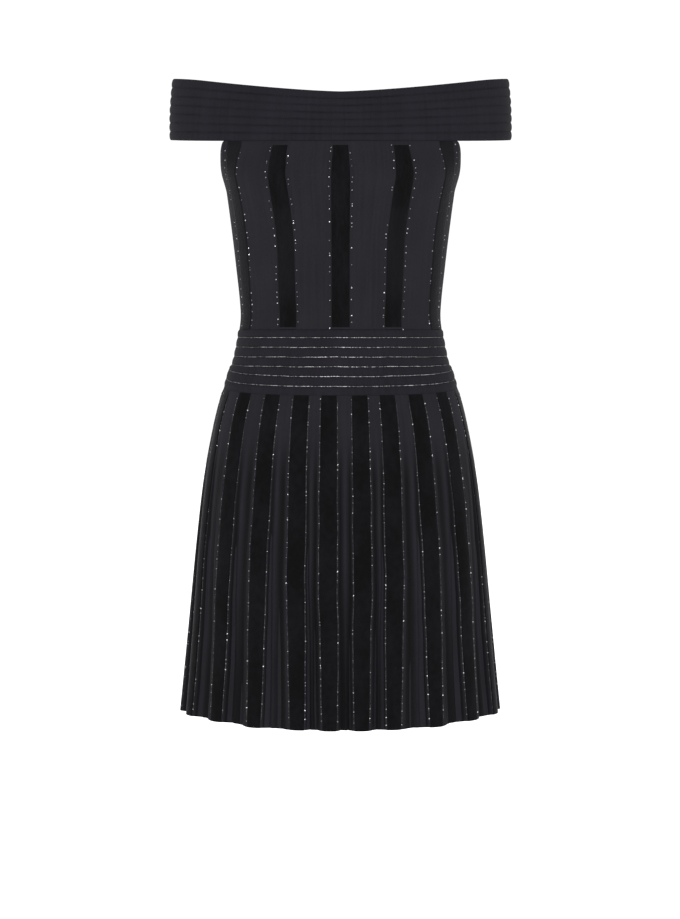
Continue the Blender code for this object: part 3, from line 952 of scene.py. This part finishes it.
def named_value(tree, kind, label):
    made = tree.add("GeometryNodeInputNamedAttribute", {"data_type": kind}, {"Name": label})
    return made.outputs[0]


def finish_group(tree, geometry, material):
    real = tree.add("GeometryNodeRealizeInstances", {}, {0: geometry})
    painted = tree.add("GeometryNodeSetMaterial", {}, {"Geometry": real.outputs[0], "Material": material})
    tree.add("NodeGroupOutput", {}, {0: painted.outputs[0]})


def thread_group():
    """Threads laid along lines: a thin round tube, as thick as the lines say."""
    if "laid_thread" in bpy.data.node_groups:
        return bpy.data.node_groups["laid_thread"]
    group, tree, given = node_group("laid_thread", (
        ("Thread Width", "NodeSocketFloat"), ("Material", "NodeSocketMaterial"),
    ))
    curve = tree.add("GeometryNodeMeshToCurve", {}, {0: given["Geometry"]})
    radius = Number(tree, named_value(tree, "FLOAT", "weight")) * given["Thread Width"]
    circle = tree.add("GeometryNodeCurvePrimitiveCircle", {}, {"Resolution": 6, "Radius": 0.5})
    tube = tree.add("GeometryNodeCurveToMesh", {}, {
        "Curve": curve.outputs[0], "Profile Curve": circle.outputs[0], "Scale": radius,
        "Fill Caps": True,
    })
    smooth = tree.add("GeometryNodeSetShadeSmooth", {}, {"Geometry": tube.outputs[0]})
    finish_group(tree, smooth.outputs[0], given["Material"])
    return group


def bead_group():
    """Beads sewn along lines at uneven distances, some missing, each turned and lit its own way."""
    if "sewn_beads" in bpy.data.node_groups:
        return bpy.data.node_groups["sewn_beads"]
    group, tree, given = node_group("sewn_beads", (
        ("Spacing", "NodeSocketFloat"), ("Unevenness", "NodeSocketFloat"), ("Bead Size", "NodeSocketFloat"),
        ("Kept Share", "NodeSocketFloat"), ("Seed", "NodeSocketInt"), ("Material", "NodeSocketMaterial"),
    ))

    def random(low, high, offset):
        seed = Number(tree, given["Seed"]) + float(offset)
        made = tree.add("FunctionNodeRandomValue", {"data_type": "FLOAT"}, {"Seed": seed})
        sockets = [socket for socket in made.inputs if socket.type == "VALUE" and socket.enabled]
        for socket, value in zip(sockets, (low, high)):
            if isinstance(value, Number):
                tree.nodes.links.new(value.socket, socket)
            else:
                socket.default_value = value
        return Number(tree, next(out for out in made.outputs if out.type == "VALUE" and out.enabled))

    curve = tree.add("GeometryNodeMeshToCurve", {}, {0: given["Geometry"]})
    spaced = tree.add("GeometryNodeResampleCurve", {"mode": "LENGTH"}, {
        "Curve": curve.outputs[0], "Length": given["Spacing"],
    })
    reach = Number(tree, given["Spacing"]) * given["Unevenness"]
    tangent = tree.add("GeometryNodeInputTangent").outputs[0]
    along = tree.add("ShaderNodeVectorMath", {"operation": "SCALE"}, {
        0: tangent, "Scale": random(reach * -1.0, reach, 1),
    })
    moved = tree.add("GeometryNodeSetPosition", {}, {
        "Geometry": spaced.outputs[0], "Offset": along.outputs[0],
    })
    outward = named_value(tree, "FLOAT_VECTOR", "outward")
    facing = tree.add("FunctionNodeAlignRotationToVector", {"axis": "Z"}, {"Vector": outward})
    dropped = tree.add("FunctionNodeCompare", {"data_type": "FLOAT", "operation": "GREATER_THAN"}, {
        0: random(0.0, 1.0, 2), 1: given["Kept Share"],
    })
    ball = tree.add("GeometryNodeMeshUVSphere", {}, {"Segments": 7, "Rings": 5, "Radius": 0.5})
    flattened = tree.add("GeometryNodeTransform", {}, {
        "Geometry": ball.outputs[0], "Scale": (1.0, 1.0, 0.7),
    })
    sewn = tree.add("GeometryNodeInstanceOnPoints", {}, {
        "Points": moved.outputs[0], "Instance": flattened.outputs[0], "Rotation": facing.outputs[0],
        "Scale": random(0.6, 1.15, 3) * given["Bead Size"],
    })
    thinned = tree.add("GeometryNodeDeleteGeometry", {"domain": "INSTANCE"}, {
        "Geometry": sewn.outputs[0], "Selection": dropped.outputs[0],
    })
    # Painted glints: a random brightness for each bead, high on only a few
    toned = tree.add("GeometryNodeStoreNamedAttribute", {"data_type": "FLOAT", "domain": "INSTANCE"}, {
        "Geometry": thinned.outputs[0], "Name": "painted_bead_glint", "Value": random(0.0, 1.0, 4) ** 3.6,
    })
    finish_group(tree, toned.outputs[0], given["Material"])
    return group


def grown(guide, group, name, values):
    """What a tree makes along a guide, as a plain mesh of its own. The guide is removed."""
    modifier = guide.modifiers.new(group.name, "NODES")
    modifier.node_group = group
    for socket in group.interface.items_tree:
        if socket.in_out == "INPUT" and socket.name in values:
            modifier[socket.identifier] = values[socket.name]
    guide.update_tag()
    depsgraph = bpy.context.evaluated_depsgraph_get()
    mesh = bpy.data.meshes.new_from_object(guide.evaluated_get(depsgraph))
    mesh.name = name
    made = bpy.data.objects.new(name, mesh)
    bpy.context.scene.collection.objects.link(made)
    guide.modifiers.clear()
    bpy.data.objects.remove(guide)
    if not mesh.polygons:
        raise RuntimeError(f"{name} came out empty")
    return made


def finish_piece(piece):
    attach(piece, "root")


def measure(name, default, description):
    return bpy.props.FloatProperty(
        name=name, description=description, default=default, unit="LENGTH", precision=4,
    )


def swatch(name, default, description):
    return bpy.props.FloatVectorProperty(
        name=name, description=description, default=default, subtype="COLOR", min=0.0, max=1.0,
    )


class DressSizes(bpy.types.PropertyGroup):
    knit_thickness: measure("Knit Thickness", 0.0024, "Thickness of the band, bodice and waistband cloth")
    pleat_thickness: measure("Pleat Thickness", 0.0018, "Thickness of the skirt cloth")
    rib_depth: measure("Rib Depth", 0.0014, "How far the ribs stand above their grooves")
    velvet_rise: measure("Velvet Rise", 0.0008, "How far the velvet pile stands above the knit")
    bead_size: measure("Bead Size", 0.0016, "Width of the largest beads")
    thread_width: measure("Thread Width", 0.0009, "Width of the metallic thread in the waistband")


class DressColours(bpy.types.PropertyGroup):
    rib_knit: swatch("Ribbed Knit", (0.0096, 0.0090, 0.0123), "Colour of the band and waistband")
    knit: swatch("Striped Knit", (0.0108, 0.0103, 0.0133), "Colour of the knit between the stripes")
    # Painted shade: the colour the knit is darkened towards in its folds and grooves
    painted_light: swatch("Painted Shade", (0.0024, 0.0024, 0.0027), "Colour of the knit deep in the folds and grooves")
    velvet: swatch("Velvet", (0.0022, 0.0022, 0.0025), "Colour of the velvet stripes")
    # The brushed colour, 1.7 times brighter, is also the painted sheen on the bodice's side stripes
    velvet_brushed: swatch(
        "Brushed Velvet", (0.0045, 0.0044, 0.0055), "Colour of the velvet where its pile is brushed",
    )
    thread: swatch("Thread", (0.06, 0.06, 0.064), "Colour of the waistband thread where it is dull")
    thread_glint: swatch("Thread Glint", (0.52, 0.52, 0.54), "Colour of the same thread where it glints")
    edge_thread: swatch("Edge Thread", (0.022, 0.022, 0.025), "Colour of the stripe thread where dull")
    edge_glint: swatch("Edge Glint", (0.120, 0.120, 0.126), "Colour of the stripe thread where it glints")
    bead_dull: swatch("Dull Beads", (0.12, 0.12, 0.125), "Colour of the dullest beads")
    bead: swatch("Bright Beads", (0.95, 0.95, 0.96), "Colour of the brightest beads")


def sewn(panel_name, kind, lines, group, slot_name, values):
    """Threads or beads along lines on a panel, as a piece of their own."""
    piece = grown(lines_mesh(f"{panel_name}_guide", lines), group, f"{panel_name}_{kind}", values)
    finish_piece(piece)
    return piece


def groove_line(start, places, groove):
    """The line of the thread in a groove of the waistband. It is thinner towards the side seams."""
    even_fall = (groove - WAIST_RIB_START) / WAIST_RIBS
    fall = even_fall - rib_bend(places, even_fall) / WAIST_RIBS
    outward = outward_at(waist_point, places, fall)
    middle = waist_point(places, fall) + outward * (0.45 * sizes().rib_depth)
    to_side = eased((np.abs(places - start - 0.5) - 0.22) / 0.15)
    weight = (0.80 + 0.30 * wander(17.0 * places + 5.0 * groove, groove)) * lerp(1.0, 0.3, to_side)
    return middle, outward, weight


def stripe_lines(point, start, end, trim):
    """Lines along both edges of the stripes between two places."""
    lines = []
    fall = np.linspace(trim.start, trim.end, trim.points)
    for number in range(math.ceil(start), math.floor(end) + 1):
        weight = trim.width * (1.0 + 0.2 * wander(60.0 * fall, number))
        for side in (-1.0, 1.0):
            uneven = side * TRIM_WANDER * wander(40.0 * fall, number + side)
            place = number + side * trim.beyond * HALF_STRIPE + uneven
            outward = outward_at(point, place, fall)
            lines.append((point(place, fall) + outward * trim.rise, outward, weight))
    return lines


def sewn_beads(panel_name, lines, trim, turn):
    return sewn(panel_name, "beads", lines, bead_group(), "striped_knit", {
        "Spacing": trim.spacing, "Unevenness": BEAD_UNEVENNESS, "Bead Size": sizes().bead_size,
        "Kept Share": trim.kept, "Seed": trim.seed + turn, "Material": look("silver_bead"),
    })


class DRESS_OT_band(bpy.types.Operator):
    """Make the ribbed band round the chest and arms"""
    bl_idname = "dress.band"
    bl_label = "Ribbed Band"

    def execute(self, context):
        size = sizes()
        falls = np.linspace(0.0, 1.0, BAND_RIBS * RIB_ROWS + 1)
        for name, start in (("band_front", -0.5), ("band_back", 0.5)):
            panel = panel_mesh(
                name, band_point, lambda share, fall: size.rib_depth * ribs(share, fall, BAND_RIBS),
                size.knit_thickness, even_columns(start, BAND_COLUMNS), falls, BAND_MAP,
                lambda share, fall: groove_shade(share, fall, ribs(share, fall, BAND_RIBS)),
                np.zeros(BAND_COLUMNS + 1, dtype=bool), [look("rib_knit_cloth")], (SEAM_ROLL, 0.0),
            )
            finish_piece(panel)
            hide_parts(name)
        return {"FINISHED"}


class DRESS_OT_bodice(bpy.types.Operator):
    """Make the striped bodice and the beads along its stripes"""
    bl_idname = "dress.bodice"
    bl_label = "Striped Bodice"

    def execute(self, context):
        size = sizes()
        around = 2 * (len(BODICE_STRIPES) - 1)
        halves = (("bodice_front", -around / 4.0), ("bodice_back", around / 4.0))
        for turn, (name, start) in enumerate(halves):
            end = start + around / 2.0
            places, stripes = striped_places(start, end, around, BODICE_GAP_COLUMNS)
            panel = panel_mesh(
                name, bodice_point,
                lambda place, fall: pile(place, fall, size.velvet_rise) + creases(place, fall),
                size.knit_thickness, places, np.linspace(0.0, 1.0, BODICE_ROWS + 1), BODICE_MAP,
                painted_velvet_sheen, stripes, [look("panel_knit_cloth"), look("velvet_stripe")], (SEAM_ROLL, 0.0),
                BODICE_VELVET_FALLS,
            )
            finish_piece(panel)
            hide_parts(name)
            beads = sewn_beads(name, stripe_lines(bodice_point, start, end, BODICE_TRIM), BODICE_TRIM, turn)
        return {"FINISHED"}


class DRESS_OT_waistband(bpy.types.Operator):
    """Make the ribbed waistband and the metallic threads in its grooves"""
    bl_idname = "dress.waistband"
    bl_label = "Waistband"

    def execute(self, context):
        size = sizes()
        falls = np.linspace(0.0, 1.0, round(WAIST_RIBS * RIB_ROWS) + 1)
        for name, start in (("waistband_front", -0.5), ("waistband_back", 0.5)):
            places = even_columns(start, WAIST_COLUMNS)
            panel = panel_mesh(
                name, waist_point,
                lambda share, fall: size.rib_depth * waist_ribs(share, fall) * run_out(fall),
                size.knit_thickness, places, falls, WAISTBAND_MAP,
                lambda share, fall: groove_shade(share, fall, waist_ribs(share, fall)),
                np.zeros(WAIST_COLUMNS + 1, dtype=bool), [look("rib_knit_cloth")], (SEAM_ROLL, 0.0),
            )
            finish_piece(panel)
            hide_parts(name)
            lines = [groove_line(start, places[1:-1], groove) for groove in WAIST_GROOVES]
            laid = sewn(name, "threads", lines, thread_group(), "ribbed_knit", {
                "Thread Width": size.thread_width, "Material": look("metallic_thread"),
            })
        return {"FINISHED"}


class DRESS_OT_skirt(bpy.types.Operator):
    """Make the pleated skirt, with the threads and beads along its stripes"""
    bl_idname = "dress.skirt"
    bl_label = "Pleated Skirt"

    def execute(self, context):
        size = sizes()
        around = 2 * len(SKIRT_STRIPES)
        left, right = -FRONT_PLEATS / 2 - 0.5, FRONT_PLEATS / 2 - 0.5
        halves = (("skirt_front", left, right), ("skirt_back", right, left + around))
        for turn, (name, start, end) in enumerate(halves):
            places, stripes = striped_places(start, end, around, SKIRT_GAP_COLUMNS)
            panel = panel_mesh(
                name, skirt_point, lambda place, fall: pile(place, fall, size.velvet_rise),
                size.pleat_thickness, places, np.linspace(0.0, 1.0, SKIRT_ROWS + 1), SKIRT_MAP,
                fold_shade, stripes, [look("panel_knit_cloth"), look("velvet_stripe")],
                (SEAM_ROLL, HEM_ROLL),
            )
            finish_piece(panel)
            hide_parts(name)
            lines = stripe_lines(skirt_point, start, end, SKIRT_TRIM)
            laid = sewn(name, "threads", lines, thread_group(), "striped_knit", {
                "Thread Width": 1.0, "Material": look("edge_thread"),
            })
            beads = sewn_beads(name, lines, SKIRT_TRIM, turn)
        return {"FINISHED"}


def placed(name, data, place, aim):
    """An object for a light or a camera, which looks at a point."""
    made = bpy.data.objects.new(name, data)
    made.location = place
    made.rotation_euler = (Vector(aim) - Vector(place)).to_track_quat("-Z", "Y").to_euler()
    bpy.context.scene.collection.objects.link(made)
    return made


class DRESS_OT_studio(bpy.types.Operator):
    """Set the camera, the pale floor and the soft lights"""
    bl_idname = "dress.studio"
    bl_label = "Studio"

    def execute(self, context):
        mesh = bpy.data.meshes.new("floor")
        corners = ((-1, -1), (1, -1), (1, 1), (-1, 1))
        points = [(x * FLOOR_SIZE, y * FLOOR_SIZE, FLOOR_HEIGHT) for x, y in corners]
        mesh.from_pydata(points, [], [(0, 1, 2, 3)])
        floor = bpy.data.objects.new("floor", mesh)
        context.scene.collection.objects.link(floor)
        mesh.materials.append(new_material("pale_floor", {
            "Base Color": (0.92, 0.92, 0.92, 1.0), "Roughness": 0.9,
            "Emission Color": (1.0, 1.0, 1.0, 1.0), "Emission Strength": 0.5,
        }, lambda tree: {}))
        for lamp in LAMPS:
            light = bpy.data.lights.new(lamp.name, "AREA")
            light.shape, light.size, light.energy = "DISK", lamp.size, lamp.power
            placed(lamp.name, light, lamp.place, (0.0, 0.0, lamp.aim_height))
        world = bpy.data.worlds.new("soft_studio")
        world.use_nodes = True
        background = world.node_tree.nodes["Background"].inputs
        background["Color"].default_value = (1.0, 1.0, 1.0, 1.0)
        background["Strength"].default_value = WORLD_LIGHT
        context.scene.world = world
        context.scene.view_settings.view_transform = "Standard"
        data = bpy.data.cameras.new("camera")
        data.sensor_width, data.lens = 36.0, CAMERA_LENS
        context.scene.camera = placed("camera", data, CAMERA_PLACE, CAMERA_AIM)
        return {"FINISHED"}


class DRESS_PT_panel(bpy.types.Panel):
    """The dress and its sizes in the sidebar"""
    bl_idname = "DRESS_PT_panel"
    bl_label = "Off-Shoulder Dress"
    bl_space_type = "VIEW_3D"
    bl_region_type = "UI"
    bl_category = "Dress"

    def draw(self, context):
        layout = self.layout
        for group in (context.scene.dress_sizes, context.scene.dress_colours):
            column = layout.column(align=True)
            for label in group.bl_rna.properties.keys():
                if label not in ("rna_type", "name"):
                    column.prop(group, label)
        for operator in OPERATORS:
            layout.operator(operator.bl_idname)


OPERATORS = (DRESS_OT_studio, DRESS_OT_band, DRESS_OT_bodice, DRESS_OT_waistband, DRESS_OT_skirt)
CLASSES = (DressSizes, DressColours, *OPERATORS, DRESS_PT_panel)


def register():
    for each in CLASSES:
        bpy.utils.register_class(each)
    bpy.types.Scene.dress_sizes = bpy.props.PointerProperty(type=DressSizes)
    bpy.types.Scene.dress_colours = bpy.props.PointerProperty(type=DressColours)


def unregister():
    del bpy.types.Scene.dress_colours
    del bpy.types.Scene.dress_sizes
    for each in reversed(CLASSES):
        bpy.utils.unregister_class(each)


def main():
    register()
    bpy.ops.dress.studio()
    bpy.ops.dress.band()
    bpy.ops.dress.bodice()
    bpy.ops.dress.waistband()
    bpy.ops.dress.skirt()


if __name__ == "__main__":
    main()
